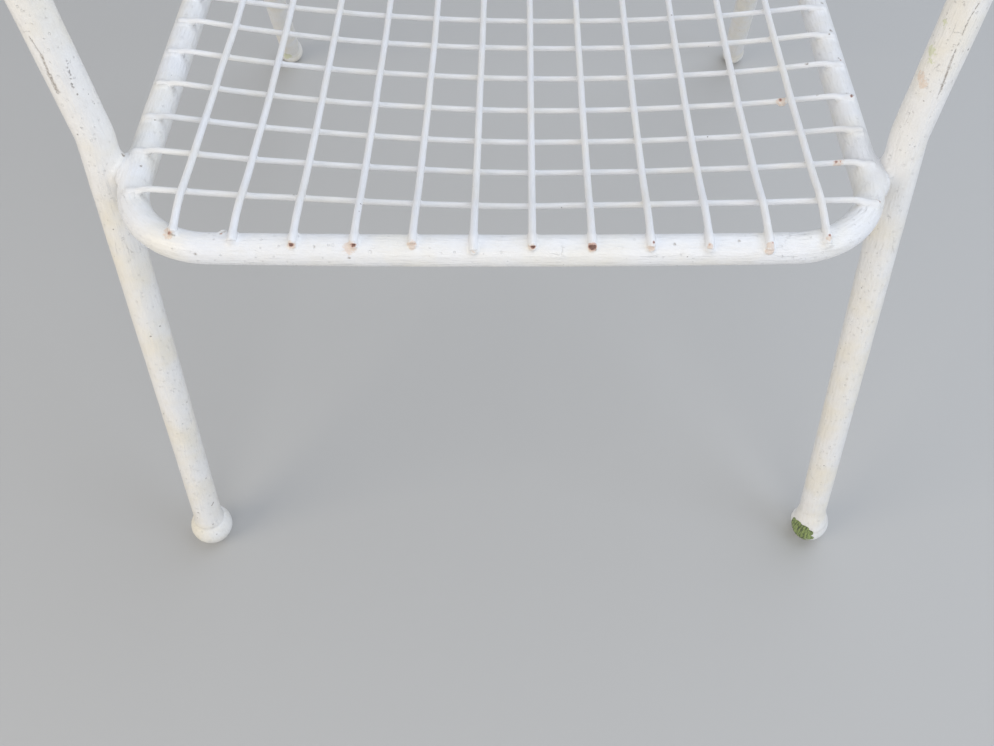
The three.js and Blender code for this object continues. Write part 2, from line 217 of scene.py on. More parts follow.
def panel_point(x, run, height=0.0):
    place, _, out = profile_at(run)
    return Vector((x, FRONT_TUBE_Y + place.x + height * out.x, SEAT_HEIGHT + place.y + height * out.y))


def corner_shift(radius, inset):
    """How far a rounded corner draws one side in, at a distance from the other side."""
    short = clamp(radius - inset, 0.0, radius)
    return radius - math.sqrt(radius ** 2 - short ** 2)


def rail_at(run):
    return RAIL - corner_shift(FRONT_CORNER, run) - corner_shift(TOP_CORNER, PANEL_LENGTH - run)


def front_edge(x):
    place, lean = abs(x), FRONT_BOW / RAIL
    arc_end = BOW_RADIUS * lean
    bow = (arc_end ** 2 - place ** 2) / (2 * BOW_RADIUS) if place < arc_end else 0.0
    return corner_shift(FRONT_CORNER, RAIL - place) - bow - lean * (RAIL - max(place, arc_end))


def top_edge(x):
    return PANEL_LENGTH - corner_shift(TOP_CORNER, RAIL - abs(x))


print("front tube at y", round(FRONT_TUBE_Y / MM, 1), "mm")

# %% [markdown]
# A bent tube is straights joined by true arcs. From the corners and their radii we get stations that
# lie much closer together than the paint's lumps are wide, so that the mesh can carry those lumps.
# %% Stations along a bent tube
def spaced(start, end, step):
    count = max(1, math.ceil((end - start).length / step))
    return [start.lerp(end, i / count) for i in range(count)]


def bent_line(corners, step):
    """Corners are (point, radius) pairs; the first and last radius are not used."""
    stations, last = [], corners[0][0]
    for i in range(1, len(corners) - 1):
        at, radius = corners[i]
        back = (corners[i - 1][0] - at).normalized()
        ahead = (corners[i + 1][0] - at).normalized()
        turn = math.pi - back.angle(ahead)
        start = at + back * radius * math.tan(turn / 2)
        centre = at + (back + ahead).normalized() * radius / math.cos(turn / 2)
        stations += spaced(last, start, step)
        steps = max(3, math.ceil(radius * turn / step))
        axis = ahead.cross(back)
        turns = [Matrix.Rotation(turn * k / steps, 3, axis) for k in range(steps + 1)]
        arc = [centre + rotation @ (start - centre) for rotation in turns]
        stations += arc[:-1]
        last = arc[-1]
    end = corners[-1][0]
    return stations + spaced(last, end, step) + [end]


# %% [markdown]
# ## Rolling a tube
# Steel tube is rolled from flat strip and welded along its seam, and the mesh is made the same way. We
# start from a flat grid, wrap each of its rows round one station of the centre line, then merge the two
# edges that meet and fill the ends. The rows turn by the least angle, so the tube doesn't twist. The
# vertices carry "lay", the place round and along the tube, which brush strokes follow, "outward", the
# way the skin faces, which later lets paint build up in the corners, and "seam", how near a neighbouring
# bar lies, which the paint later darkens as painted shade in the crease.
# %% Rolled tube helper
MERGE_GAP = 1e-6
END_ROUNDNESS = 3
LEAST_SHARE = 0.003


def ring_frames(stations):
    frames, side = [], None
    count = len(stations)
    for i, station in enumerate(stations):
        before, after = stations[max(i - 1, 0)], stations[min(i + 1, count - 1)]
        arrive = (station - before).normalized() if i else (after - station).normalized()
        leave = (after - station).normalized() if i < count - 1 else arrive
        way = (arrive + leave).normalized()
        if side is None:
            side = way.orthogonal().normalized()
        side = (side - way * side.dot(way)).normalized()
        frames.append((station, side, way.cross(side)))
    return frames


def add_vectors(bm):
    for key in ("lay", "outward"):
        bm.verts.layers.float_vector.new(key)
    bm.verts.layers.float.new("seam")
    return [bm.verts.layers.float_vector[key] for key in ("lay", "outward")]


def rolled_tube(stations, radius_at, sides):
    """A closed tube. radius_at takes the length along the line and the whole length."""
    along = [0.0]
    for a, b in zip(stations, stations[1:]):
        along.append(along[-1] + (b - a).length)
    frames = ring_frames(stations)
    radii = [radius_at(length, along[-1]) for length in along]
    bm = bmesh.new()
    lay, outward = add_vectors(bm)
    last = len(stations) - 1
    bmesh.ops.create_grid(bm, x_segments=sides, y_segments=last, size=1.0)
    for vert in bm.verts:
        row = round((vert.co.y + 1) / 2 * last)
        angle = math.pi * (vert.co.x + 1)
        station, side, up = frames[row]
        cos, sin = math.cos(angle), math.sin(angle)
        vert[outward] = side * cos + up * sin
        vert[lay] = (LEG_RADIUS * cos, LEG_RADIUS * sin, along[row])
        vert.co = station + vert[outward] * radii[row]
    bmesh.ops.remove_doubles(bm, verts=bm.verts, dist=MERGE_GAP)
    bmesh.ops.holes_fill(bm, edges=[e for e in bm.edges if e.is_boundary], sides=0)
    bmesh.ops.recalc_face_normals(bm, faces=bm.faces)
    return bm


def plain_radius(radius, round_end):
    """The same radius all along, drawn in over the last bit, where the cut end is rounded."""
    def radius_at(along, whole):
        edge = min(along, whole - along)
        if edge >= round_end:
            return radius
        share = max(LEAST_SHARE, 1 - (1 - edge / round_end) ** END_ROUNDNESS)
        return radius * share ** (1 / END_ROUNDNESS)
    return radius_at


# %% [markdown]
# ## Paint that builds up in the corners
# Where two bars meet, weld metal and many coats of paint round the corner off. We get that look by
# treating the bars as one soft shape: near its neighbour, each vertex slides out along its own skin
# until it lies on the smooth union of the two. The neighbour is only a cloud of points along its centre
# line in a KD-tree, which answers "how far is the nearest bar?" very quickly.
# %% Fillet and lump helpers
CLOUD_STEP = 1.0 * MM
SEAM_WIDTH = 0.9 * MM
FILLET_STEPS = 5
FILLET_TOP_SHARE = 0.6
BURIED_SHARE = 0.75


def tree_of(points):
    tree = KDTree(len(points))
    for i, point in enumerate(points):
        tree.insert(point, i)
    tree.balance()
    return tree


def line_tree(lines):
    pairs = [pair for line in lines for pair in zip(line, line[1:])]
    return tree_of([point for a, b in pairs for point in spaced(a, b, CLOUD_STEP)])


def smooth_least(a, b, reach):
    share = max(reach - abs(a - b), 0.0) / reach
    return min(a, b) - share * share * reach / 4


def fillet(bm, neighbours):
    """neighbours: (tree, radius, reach). The skin rises by as much as the softened union asks."""
    outward = bm.verts.layers.float_vector["outward"]
    seam = bm.verts.layers.float["seam"]
    for vert in bm.verts:
        rise, spoke = 0.0, vert[outward]
        for tree, radius, reach in neighbours:
            gap = tree.find(vert.co)[2] - radius
            # seam: how near the neighbour's skin lies; the paint darkens there as painted shade in the
            # crease
            vert[seam] = max(vert[seam], math.exp(-((gap / SEAM_WIDTH) ** 2)))
            if gap > reach or gap < -radius * BURIED_SHARE:
                continue
            lift, top = 0.0, reach * FILLET_TOP_SHARE
            for _ in range(FILLET_STEPS):
                gap = tree.find(vert.co + spoke * lift)[2] - radius
                lift -= smooth_least(lift, gap, reach)
                if lift > top:
                    break
            rise = max(rise, min(lift, top))
        if rise:
            vert.co += spoke * rise


def lump(bm, height, size):
    """Low, soft hollows of brushed paint and bent tube. They go inwards, so the outer size holds."""
    outward = bm.verts.layers.float_vector["outward"]
    for vert in bm.verts:
        vert.co -= vert[outward] * height * (0.5 + 0.5 * noise.noise(vert.co / size))


# %% [markdown]
# ## Marks of age
# Chips, rust, stains and rubbed places sit at certain spots of this chair, picked in the
# photograph. Each mark is a point with a reach and a strength. Its value falls off over the vertices
# near it, in an attribute with the mark's name, and the material later breaks the soft edge up with
# noise, so the chip looks torn and not round.
# %% Table of marks
MARKS = {
    # for each kind of mark: place, reach and strength; places and reaches in millimetres
    "rust": [
        (-180.6, -368.9, 428.6, 0.7, 0.7), (250.4, -338.3, 428.6, 1.5, 1.2),
        (253.0, -337.3, 430.0, 1.2, 0.9), (202.8, -226.2, 418.9, 1.2, 0.85),
        (205.6, -227.0, 416.6, 1.1, 0.75), (228.8, -300.5, 427.2, 1.0, 0.85),
        (231.6, -300.7, 427.6, 0.7, 0.8), (-230.2, -326.8, 427.8, 0.7, 0.8),
        (253.6, -228.2, 424.5, 1.1, 0.9), (255.2, -181.0, 419.4, 0.8, 0.8),
    ],
    "stain": [
        (-215.5, -367.2, 429.6, 3.4, 0.8), (269.6, -287.2, 487.2, 3.6, 0.85),
        (271.5, -290.9, 484.8, 3.2, 0.85), (203.6, -226.2, 417.8, 3.6, 0.9),
        (206.5, -227.0, 416.0, 2.4, 0.8), (230.0, -300.6, 427.3, 3.6, 0.75),
        (250.4, -338.3, 428.6, 3.0, 0.6),
    ],
    "worn": [
        (-196.3, -381.2, 423.1, 0.9, 0.66), (254.0, -178.8, 419.7, 0.8, 0.8),
        (255.0, -142.5, 417.7, 1.3, 0.85), (251.4, -151.5, 421.1, 0.8, 0.8),
        (254.8, -104.9, 416.0, 1.2, 0.75), (228.1, -187.6, 421.2, 1.1, 0.85),
        (228.9, -226.0, 423.3, 1.0, 0.7), (-246.8, -302.3, 424.6, 0.9, 0.85),
        (-261.1, -292.0, 424.9, 1.2, 1.0), (-295.8, -375.1, 56.7, 0.8, 0.75),
        (-286.5, -377.4, 37.2, 0.8, 0.8), (152.4, -375.2, 429.0, 0.9, 0.8),
        (110.9, -377.7, 428.4, 0.9, 0.62), (-98.3, -383.8, 422.2, 0.8, 0.8),
        (-120.2, -379.3, 427.5, 0.8, 0.62),
    ],
    "green": [
        (-281.0, -371.3, 20.0, 3.0, 0.7), (-306.4, 365.6, 31.2, 1.6, 0.9),
        (285.3, -379.0, 17.0, 7.6, 1.3), (281.0, -372.0, 13.5, 7.0, 1.3),
        (290.0, -381.4, 21.6, 5.2, 1.25), (294.2, -384.0, 16.6, 4.2, 1.15),
        (283.2, -375.8, 27.0, 4.6, 1.3), (288.0, -380.0, 27.5, 4.3, 1.3),
        (291.8, -383.1, 24.0, 4.3, 1.3), (280.3, -371.5, 24.0, 4.4, 1.3),
        (292.0, -381.5, 8.0, 5.0, 1.2),
    ],
    "moss": [
        (271.2, -283.9, 505.2, 4.0, 0.78), (272.6, -287.6, 499.5, 2.6, 0.7),
        (274.5, -281.7, 522.5, 2.8, 0.62), (-308.6, 361.8, 30.0, 3.6, 1.2),
        (-310.7, 353.9, 21.6, 5.0, 1.4), (-314.0, 353.4, 17.0, 4.0, 1.1),
        (294.8, -384.6, 22.5, 3.6, 0.6),
    ],
}
# Long thin worn marks, and one painted shadow: both ends, reach, strength
STREAKS = (
    ((-288.0, -289.3, 516.8), (-284.6, -291.7, 505.6), 0.5, 0.66),
    ((-284.6, -291.7, 505.6), (-284.4, -294.0, 492.5), 0.8, 0.74),
    ((-284.4, -294.0, 492.5), (-283.0, -296.3, 480.5), 1.35, 0.74),
    ((-272.5, -288.3, 499.4), (-273.1, -294.0, 482.6), 0.9, 0.3),
    ((-280.6, -367.6, 63.5), (-282.5, -370.1, 61.8), 0.7, 0.85),
    ((-181.5, -369.0, 428.5), (-177.5, -366.2, 428.9), 0.6, 0.7),
    # Painted shadow: a grey smear beside the first wire's cut end, where the wire's shade falls, drawn as a
    # worn streak
    ((-213.5, -370.3, 430.3), (-207.5, -372.5, 430.0), 0.8, 0.55),
    ((251.6, -222.6, 422.6), (254.6, -227.5, 424.0), 0.9, 0.85),
    ((289.5, -285.0, 541.4), (286.0, -287.4, 528.7), 0.45, 0.43),
    ((286.0, -287.4, 528.7), (283.6, -291.5, 506.8), 0.45, 0.47),
    ((283.6, -291.5, 506.8), (282.7, -295.8, 483.5), 0.6, 0.78),
    ((282.7, -295.8, 483.5), (282.0, -297.0, 478.0), 0.4, 0.55),
    ((302.0, 362.5, 28.0), (307.3, 357.2, 23.1), 0.5, 0.75),
    ((307.3, 357.2, 23.1), (314.0, 358.5, 27.5), 0.5, 0.7),
)
MARK_SPREAD = 1.6
SMALL_MARK = 6.0 * MM
FINE_MARGIN = 2.5 * MM
FINE_CUTS = 3


def mark_spots():
    """Every mark as (kind, place, outer reach, strength) in metres, with the streaks cut into spots."""
    spots = []
    for kind, marks in MARKS.items():
        for *at, reach, strength in marks:
            spots.append((kind, Vector(at) * MM, reach * MM * MARK_SPREAD, strength))
    for start, end, reach, strength in STREAKS:
        for at in spaced(Vector(start) * MM, Vector(end) * MM, reach * MM / 2):
            spots.append(("worn", at, reach * MM * MARK_SPREAD, strength))
    return spots


def refine_near_marks(bm, radius):
    """A tube gets a finer mesh near the small marks. The new vertices go back onto the round skin."""
    small = [(at, reach) for _, at, reach, _ in mark_spots() if reach < SMALL_MARK]
    tree = tree_of([at for at, _ in small])
    fine = []
    for vert in bm.verts:
        _, i, gap = tree.find(vert.co)
        if gap < small[i][1] + FINE_MARGIN:
            fine += vert.link_edges
    if not fine:
        return
    bmesh.ops.subdivide_edges(bm, edges=list(dict.fromkeys(fine)), cuts=FINE_CUTS, use_grid_fill=True)
    outward = bm.verts.layers.float_vector["outward"]
    for vert in bm.verts:
        spoke = vert[outward]
        # A new vertex between two old ones has a shortened spoke
        if 0.5 < spoke.length < 0.99999:
            vert.co += (spoke.normalized() - spoke) * radius
            vert[outward] = spoke.normalized()


def mark_skin(bm):
    for kind in MARKS:
        bm.verts.layers.float.new(kind)
    layers = {kind: bm.verts.layers.float[kind] for kind in MARKS}
    verts = list(bm.verts)
    tree = tree_of([vert.co for vert in verts])
    for kind, at, reach, strength in mark_spots():
        for _, i, gap in tree.find_range(at, reach):
            value = strength * (1 - (gap / reach) ** 2)
            verts[i][layers[kind]] = max(verts[i][layers[kind]], value)


# %% [markdown]
# ## Node groups for aged paint
# Several materials share the same effects, so each effect is a group with named inputs: the brushed
# relief, fine dirt specks, hairline cracks, and the torn edge of a chip. The groups give only values;
# the shader itself stays in each material.
# %% Small node helpers
def make_group(name, inputs, outputs):
    """inputs: label and default, None for a vector. outputs: labels of values."""
    tree = bpy.data.node_groups.new(name, "ShaderNodeTree")
    for label, default in inputs.items():
        kind = "NodeSocketVector" if default is None else "NodeSocketFloat"
        socket = tree.interface.new_socket(name=label, in_out="INPUT", socket_type=kind)
        if default is not None:
            socket.default_value = default
    for label in outputs:
        tree.interface.new_socket(name=label, in_out="OUTPUT", socket_type="NodeSocketFloat")
    given = tree.nodes.new("NodeGroupInput").outputs
    return tree, given, tree.nodes.new("NodeGroupOutput").inputs


def add_node(tree, kind, values=None, **settings):
    """Make a node, set its properties, then link or fill its inputs."""
    node = tree.nodes.new(kind)
    for key, value in settings.items():
        setattr(node, key, value)
    for key, value in (values or {}).items():
        target = node.inputs[key]
        if isinstance(value, bpy.types.NodeSocket):
            tree.links.new(value, target)
        else:
            target.default_value = value
    return node


def math_node(tree, operation, a, b=0.0, c=0.0):
    return add_node(tree, "ShaderNodeMath", {0: a, 1: b, 2: c}, operation=operation).outputs[0]


def ramp_up(tree, value, low, high):
    """0 below low, 1 above high, smooth between."""
    node = add_node(tree, "ShaderNodeMapRange", {"Value": value, "From Min": low, "From Max": high},
                    interpolation_type="SMOOTHSTEP")
    return node.outputs["Result"]


def noise_node(tree, vector, scale, detail=2.0, roughness=0.5):
    values = {"Vector": vector, "Scale": scale, "Detail": detail, "Roughness": roughness}
    return add_node(tree, "ShaderNodeTexNoise", values).outputs["Fac"]


def mix_colour(tree, share, first, second):
    return add_node(tree, "ShaderNodeMix", {0: share, 6: first, 7: second}, data_type="RGBA").outputs[2]


def stretched(tree, vector, amounts):
    return add_node(tree, "ShaderNodeVectorMath", {0: vector, 1: amounts}, operation="MULTIPLY").outputs[0]


def nudged(tree, vector, scale, amount):
    """Shift a vector a little by noise, which turns straight lines wavy and round dots uneven."""
    bend = add_node(tree, "ShaderNodeTexNoise", {"Vector": vector, "Scale": scale}).outputs["Color"]
    values = {0: bend, 1: (amount, amount, amount), 2: vector}
    return add_node(tree, "ShaderNodeVectorMath", values, operation="MULTIPLY_ADD").outputs[0]


# %% [markdown]
# Brushed paint is uneven at three sizes: broad sags, brush strokes that run along the bar, and a fine
# skin like orange peel. The strokes read "lay", shortened along the bar, which draws the noise out.
# %% Group: brushed relief
def build_brushed_relief():
    tree, given, out = make_group(
        "brushed_relief", {"Place": None, "Lay": None, "Sag Scale": 90.0, "Stroke Scale": 520.0},
        ("Height", "Tone", "Groove"))
    sags = noise_node(tree, given["Place"], given["Sag Scale"], 2.0, 0.45)
    drawn_out = stretched(tree, given["Lay"], (1.0, 1.0, 0.14))
    strokes = noise_node(tree, drawn_out, given["Stroke Scale"], 3.0, 0.55)
    peel = noise_node(tree, given["Place"], 1100.0)
    height = math_node(tree, "MULTIPLY_ADD", strokes, 0.75, math_node(tree, "MULTIPLY", sags, 0.9))
    height = math_node(tree, "MULTIPLY_ADD", peel, 0.25, height)
    tree.links.new(height, out["Height"])
    tree.links.new(ramp_up(tree, strokes, 0.47, 0.3), out["Groove"])
    tree.links.new(noise_node(tree, given["Place"], 22.0, 3.0, 0.6), out["Tone"])
    return tree


# %% [markdown]
# Specks are small dark grains caught in the paint. A Voronoi pattern gives one point per cell; a random
# value per cell decides whether that cell has a speck at all, and another how large it is.
# %% Group: specks
def build_specks():
    tree, given, out = make_group(
        "specks", {"Place": None, "Scale": 150.0, "Size": 0.13, "Share": 0.12}, ("Mask",))
    uneven = nudged(tree, given["Place"], 700.0, 0.0015)
    cells = add_node(tree, "ShaderNodeTexVoronoi", {"Vector": uneven, "Scale": given["Scale"]})
    draws = add_node(tree, "ShaderNodeSeparateColor", {0: cells.outputs["Color"]}).outputs
    grain = math_node(tree, "MULTIPLY_ADD", draws[1], 0.8, 0.2)
    grain = math_node(tree, "MULTIPLY", grain, given["Size"])
    near = math_node(tree, "SUBTRACT", grain, cells.outputs["Distance"])
    dot = math_node(tree, "MULTIPLY", near, 30.0)
    dot = add_node(tree, "ShaderNodeClamp", {"Value": dot}).outputs[0]
    chosen = math_node(tree, "LESS_THAN", draws[0], given["Share"])
    tree.links.new(math_node(tree, "MULTIPLY", dot, chosen), out["Mask"])
    return tree


# %% [markdown]
# Old paint also opens in hairline cracks. The borders of stretched Voronoi cells make a net of thin
# lines, and a broad noise lets it show in a few patches only.
# %% Group: hairlines
def build_hairlines():
    tree, given, out = make_group(
        "hairlines", {"Lay": None, "Scale": 130.0, "Width": 0.022, "Level": 0.62}, ("Mask",))
    wavy = nudged(tree, stretched(tree, given["Lay"], (1.0, 1.0, 0.4)), 260.0, 0.005)
    net = add_node(tree, "ShaderNodeTexVoronoi", {"Vector": wavy, "Scale": given["Scale"]},
                   feature="DISTANCE_TO_EDGE").outputs["Distance"]
    line = ramp_up(tree, net, given["Width"], 0.0)
    patch = noise_node(tree, given["Lay"], 45.0)
    shown = ramp_up(tree, patch, given["Level"], math_node(tree, "ADD", given["Level"], 0.06))
    tree.links.new(math_node(tree, "MULTIPLY", line, shown), out["Mask"])
    return tree


# %% [markdown]
# A chip starts as the soft value of its mark. Noise is added before the threshold, so the edge tears,
# and a second, lower threshold gives the rim where older coats show.
# %% Group: torn edge
def build_torn_edge():
    tree, given, out = make_group(
        "torn_edge", {"Place": None, "Mark": 0.0, "Scale": 600.0, "Ragged": 0.7, "Softness": 0.1},
        ("Bare", "Rim"))
    tear = noise_node(tree, given["Place"], given["Scale"], 4.0, 0.65)
    centred = math_node(tree, "SUBTRACT", tear, 0.5)
    value = math_node(tree, "MULTIPLY_ADD", centred, given["Ragged"], given["Mark"])
    inside_mark = ramp_up(tree, given["Mark"], 0.02, 0.12)
    rim_end = math_node(tree, "ADD", given["Softness"], 0.34)
    for label, low, high in (("Bare", 0.62, 0.7), ("Rim", 0.34, rim_end)):
        torn = math_node(tree, "MULTIPLY", ramp_up(tree, value, low, high), inside_mark)
        tree.links.new(torn, out[label])
    return tree


brushed_relief = build_brushed_relief()
specks = build_specks()
hairlines = build_hairlines()
torn_edge = build_torn_edge()
print("groups", [g.name for g in bpy.data.node_groups])


# %% [markdown]
# ## The paint material
# One function writes every painted finish and each material gives it its own values. The shader is a
# Principled BSDF with a thin coat for the gloss. Base colour goes from clean paint to a warm tone of
# yellowed paint, which on the legs also holds painted warm light. Then brush grooves, painted shade in
# the creases where bars meet, dirt specks, cracks, stains and rubbed places are laid over it through
# their masks, one after the other, and old green paint and rust last.
# %% Paint materials
# How the edge of each kind of mark tears
TEARS = {
    "moss": {"Scale": 300.0, "Ragged": 2.2, "Softness": 0.4},
    "stain": {"Scale": 420.0, "Ragged": 1.7, "Softness": 0.4},
    "worn": {"Scale": 700.0, "Ragged": 1.5},
    "green": {"Scale": 300.0},
    "rust": {"Scale": 900.0},
}
RELIEF_DEPTH = 1.1 * MM


def use_group(tree, group, values):
    return add_node(tree, "ShaderNodeGroup", values, node_tree=group).outputs


def attribute(tree, name):
    return add_node(tree, "ShaderNodeAttribute", attribute_name=name).outputs


def aged_paint(name, clean, warm_tone, roughness, relief, speck_share, crease_shade_share):
    material = bpy.data.materials.new(name)
    material.use_nodes = True
    tree = material.node_tree
    shader = tree.nodes["Principled BSDF"]
    place = add_node(tree, "ShaderNodeTexCoord").outputs["Object"]
    lay = attribute(tree, "lay")["Vector"]
    brushed = use_group(tree, brushed_relief, {"Place": place, "Lay": lay})
    # Painted shade: darker along the creases where a bar meets its neighbour, made patchy by noise
    crease_shade = math_node(tree, "MULTIPLY", noise_node(tree, place, 300.0, 3.0), attribute(tree, "seam")["Fac"])
    dirt = use_group(tree, specks, {"Place": place, "Share": speck_share})
    pits = use_group(tree, specks, {"Place": place, "Scale": 260.0, "Size": 0.26, "Share": speck_share * 2})
    crack = use_group(tree, hairlines, {"Lay": lay})
    torn = {}
    for kind, values in TEARS.items():
        mark = attribute(tree, kind)["Fac"]
        torn[kind] = use_group(tree, torn_edge, {"Place": place, "Mark": mark, **values})

    # Layers from the lowest up: mask, how much of it shows, colour
    layers = (
        (brushed["Groove"], 0.08, (0.5, 0.48, 0.44, 1)),
        # painted shade in the creases where bars meet
        (crease_shade, crease_shade_share, (0.2, 0.18, 0.14, 1)),
        (dirt["Mask"], 0.75, (0.22, 0.2, 0.17, 1)),
        (crack["Mask"], 0.07, (0.3, 0.28, 0.24, 1)),
        (torn["moss"]["Rim"], 0.6, (0.62, 0.66, 0.36, 1)),
        (torn["stain"]["Rim"], 0.5, (0.75, 0.53, 0.36, 1)),
        (torn["worn"]["Rim"], 0.35, (0.36, 0.3, 0.23, 1)),
        (torn["worn"]["Bare"], 0.6, (0.2, 0.16, 0.13, 1)),
    )
    colour = mix_colour(tree, ramp_up(tree, brushed["Tone"], 0.35, 0.75), clean, warm_tone)
    for mask, share, paint in layers:
        colour = mix_colour(tree, math_node(tree, "MULTIPLY", mask, share), colour, paint)
    streaky = noise_node(tree, stretched(tree, place, (1.6, 1.6, 0.14)), 560.0, 3.0, 0.6)
    streaky = ramp_up(tree, streaky, 0.36, 0.62)
    old_green = mix_colour(tree, streaky, (0.06, 0.08, 0.035, 1), (0.31, 0.4, 0.13, 1))
    colour = mix_colour(tree, torn["green"]["Bare"], colour, old_green)
    rim = math_node(tree, "MULTIPLY", torn["rust"]["Rim"], 0.75)
    colour = mix_colour(tree, rim, colour, (0.6, 0.33, 0.25, 1))
    rusty = ramp_up(tree, noise_node(tree, place, 1400.0, 3.0, 0.7), 0.35, 0.65)
    brown = mix_colour(tree, rusty, (0.15, 0.08, 0.065, 1), (0.38, 0.22, 0.17, 1))
    colour = mix_colour(tree, torn["rust"]["Bare"], colour, brown)
    tree.links.new(colour, shader.inputs["Base Color"])

    # Where the paint is gone the surface is rougher and lies deeper
    bare = math_node(tree, "MAXIMUM", torn["rust"]["Bare"], torn["green"]["Bare"])
    bare = math_node(tree, "MAXIMUM", bare, torn["worn"]["Rim"])
    rough = math_node(tree, "MULTIPLY_ADD", brushed["Tone"], 0.18, roughness - 0.09)
    rough = math_node(tree, "MULTIPLY_ADD", bare, 0.35, rough)
    tree.links.new(rough, shader.inputs["Roughness"])
    hollow = math_node(tree, "MULTIPLY_ADD", pits["Mask"], 0.5, math_node(tree, "MULTIPLY", bare, 0.7))
    hollow = math_node(tree, "MULTIPLY_ADD", crack["Mask"], 0.2, hollow)
    step = math_node(tree, "SUBTRACT", brushed["Height"], hollow)
    bump = add_node(tree, "ShaderNodeBump", {"Height": step, "Strength": relief, "Distance": RELIEF_DEPTH})
    tree.links.new(bump.outputs["Normal"], shader.inputs["Normal"])
    shader.inputs["Coat Weight"].default_value = 0.35
    shader.inputs["Coat Roughness"].default_value = 0.18
    return material


# Each finish: clean and warm tone, roughness, relief, share of dirt specks, share of painted crease shade
frame_paint = aged_paint("frame_paint", (0.87, 0.88, 0.9, 1), (0.87, 0.85, 0.79, 1), 0.32, 1.0, 0.16, 0.25)
wire_paint = aged_paint("wire_paint", (0.87, 0.88, 0.9, 1), (0.88, 0.87, 0.84, 1), 0.36, 0.6, 0.06, 0.25)
# The legs' warm tone is creamier than the frame's: yellowed paint and painted warm light.
leg_paint = aged_paint("leg_paint", (0.88, 0.87, 0.85, 1), (0.87, 0.82, 0.71, 1), 0.32, 1.0, 0.4, 0.3)
foot_paint = aged_paint("foot_paint", (0.87, 0.87, 0.86, 1), (0.85, 0.8, 0.68, 1), 0.36, 1.0, 0.65, 0.4)
print("materials", [m.name for m in bpy.data.materials])


# %% [markdown]
# ## Turning a mesh into a piece
# Every finished piece rides on the chair's one body, replaces the plain solid it stands for, and takes
# its paint material. Tubes and wires are all made in the same few steps.
# %% Piece helper
made = []


def add_piece(name, bm, material, nodes):
    mark_skin(bm)
    mesh = bpy.data.meshes.new(name)
    bm.to_mesh(mesh)
    bm.free()
    mesh.polygons.foreach_set("use_smooth", [True] * len(mesh.polygons))
    mesh.materials.append(material)
    piece = bpy.data.objects.new(name, mesh)
    scene.collection.objects.link(piece)
    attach(piece, "root")
    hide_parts(*nodes)
    made.append((name, len(mesh.polygons)))


def add_bar(node, line, radius_at, sides, radius, neighbours, lumps, material):
    """A painted bar from its centre line: rolled, finer near its marks, filleted and lumped."""
    bm = rolled_tube(line, radius_at, sides)
    refine_near_marks(bm, radius)
    fillet(bm, neighbours)
    lump(bm, *lumps)
    add_piece(f"{node}_painted", bm, material, [node])


# %% [markdown]
# ## Centre lines of every bar
# All lines are worked out before any skin is made, because each skin needs to know its neighbours. The
# wires' ends and crossings sink a little into each other here, as they do when the welder presses them
# together, while the solids keep a thin gap.
# %% Lines of the frame
TUBE_STEP = 2.2 * MM
joint_run = SEAT_LENGTH - FOLD_LEAD
fold_corner_run = SEAT_LENGTH + BEND_RADIUS * math.tan(FOLD_TURN / 2)
seat_way = Vector((0.0, math.cos(SEAT_SLOPE), -math.sin(SEAT_SLOPE)))


def fold_corner(side):
    return panel_point(side * RAIL, 0.0) + seat_way * fold_corner_run


seat_line = bent_line([
    (panel_point(-RAIL, joint_run), 0), (panel_point(-RAIL, 0), FRONT_CORNER),
    (panel_point(0, -FRONT_BOW), BOW_RADIUS), (panel_point(RAIL, 0), FRONT_CORNER),
    (panel_point(RAIL, joint_run), 0)], TUBE_STEP)
back_line = bent_line([
    (panel_point(-RAIL, joint_run), 0), (fold_corner(-1), BEND_RADIUS),
    (panel_point(-RAIL, PANEL_LENGTH), TOP_CORNER), (panel_point(RAIL, PANEL_LENGTH), TOP_CORNER),
    (fold_corner(1), BEND_RADIUS), (panel_point(RAIL, joint_run), 0)], TUBE_STEP)
print("frame stations", len(seat_line), len(back_line))

# %% [markdown]
# A front leg runs on through its bend above the seat into the arm, and returns to the back, so it needs
# only five corners. A rear leg is straight. Both start inside their ball, a little below its middle.
# %% Lines of the legs and arms
FRONT_DRIFT = 0.9 * MM
REAR_FOOT_DRIFT = {-1: 0.0, 1: -1.2 * MM}


def leg_lines(side):
    leg_place = RAIL + FRAME_RADIUS + LEG_STAND_OFF + LEG_RADIUS
    at_rail = panel_point(side * leg_place + FRONT_DRIFT, LEG_SETBACK)
    up = -Vector((side * math.tan(LEG_SPLAY), -math.tan(LEG_RAKE), -1.0)).normalized()
    foot = at_rail - up * (at_rail.z - FRONT_FOOT_RADIUS + FOOT_FLAT) / up.z
    forward = Vector((0.0, -SOCKET_FORWARD, 0.0))
    end = foot + forward - up * SOCKET_DEPTH
    bend = at_rail + forward + up * POST_RISE
    joint = panel_point(side * RAIL, FIRST_CROSS_WIRE + (ARM_JOINT_WIRES - 0.5) * WIRE_PITCH)
    post_way = Vector((side * math.tan(POST_FLARE), math.tan(LEG_RAKE), 1.0))
    fall = math.tan(ARM_FALL)
    rise = (joint.z - bend.z + (joint.y - bend.y) * fall) / (1 + post_way.y * fall)
    shoulder = bend + post_way * rise
    elbow = Vector((shoulder.x, joint.y - ARM_RETURN, joint.z + ARM_RETURN * fall))
    line = bent_line([(end, 0), (bend, POST_RADIUS), (shoulder, ARM_FRONT_RADIUS), (elbow, ARM_REAR_RADIUS),
                      (joint, 0)], TUBE_STEP)
    return line, foot, up


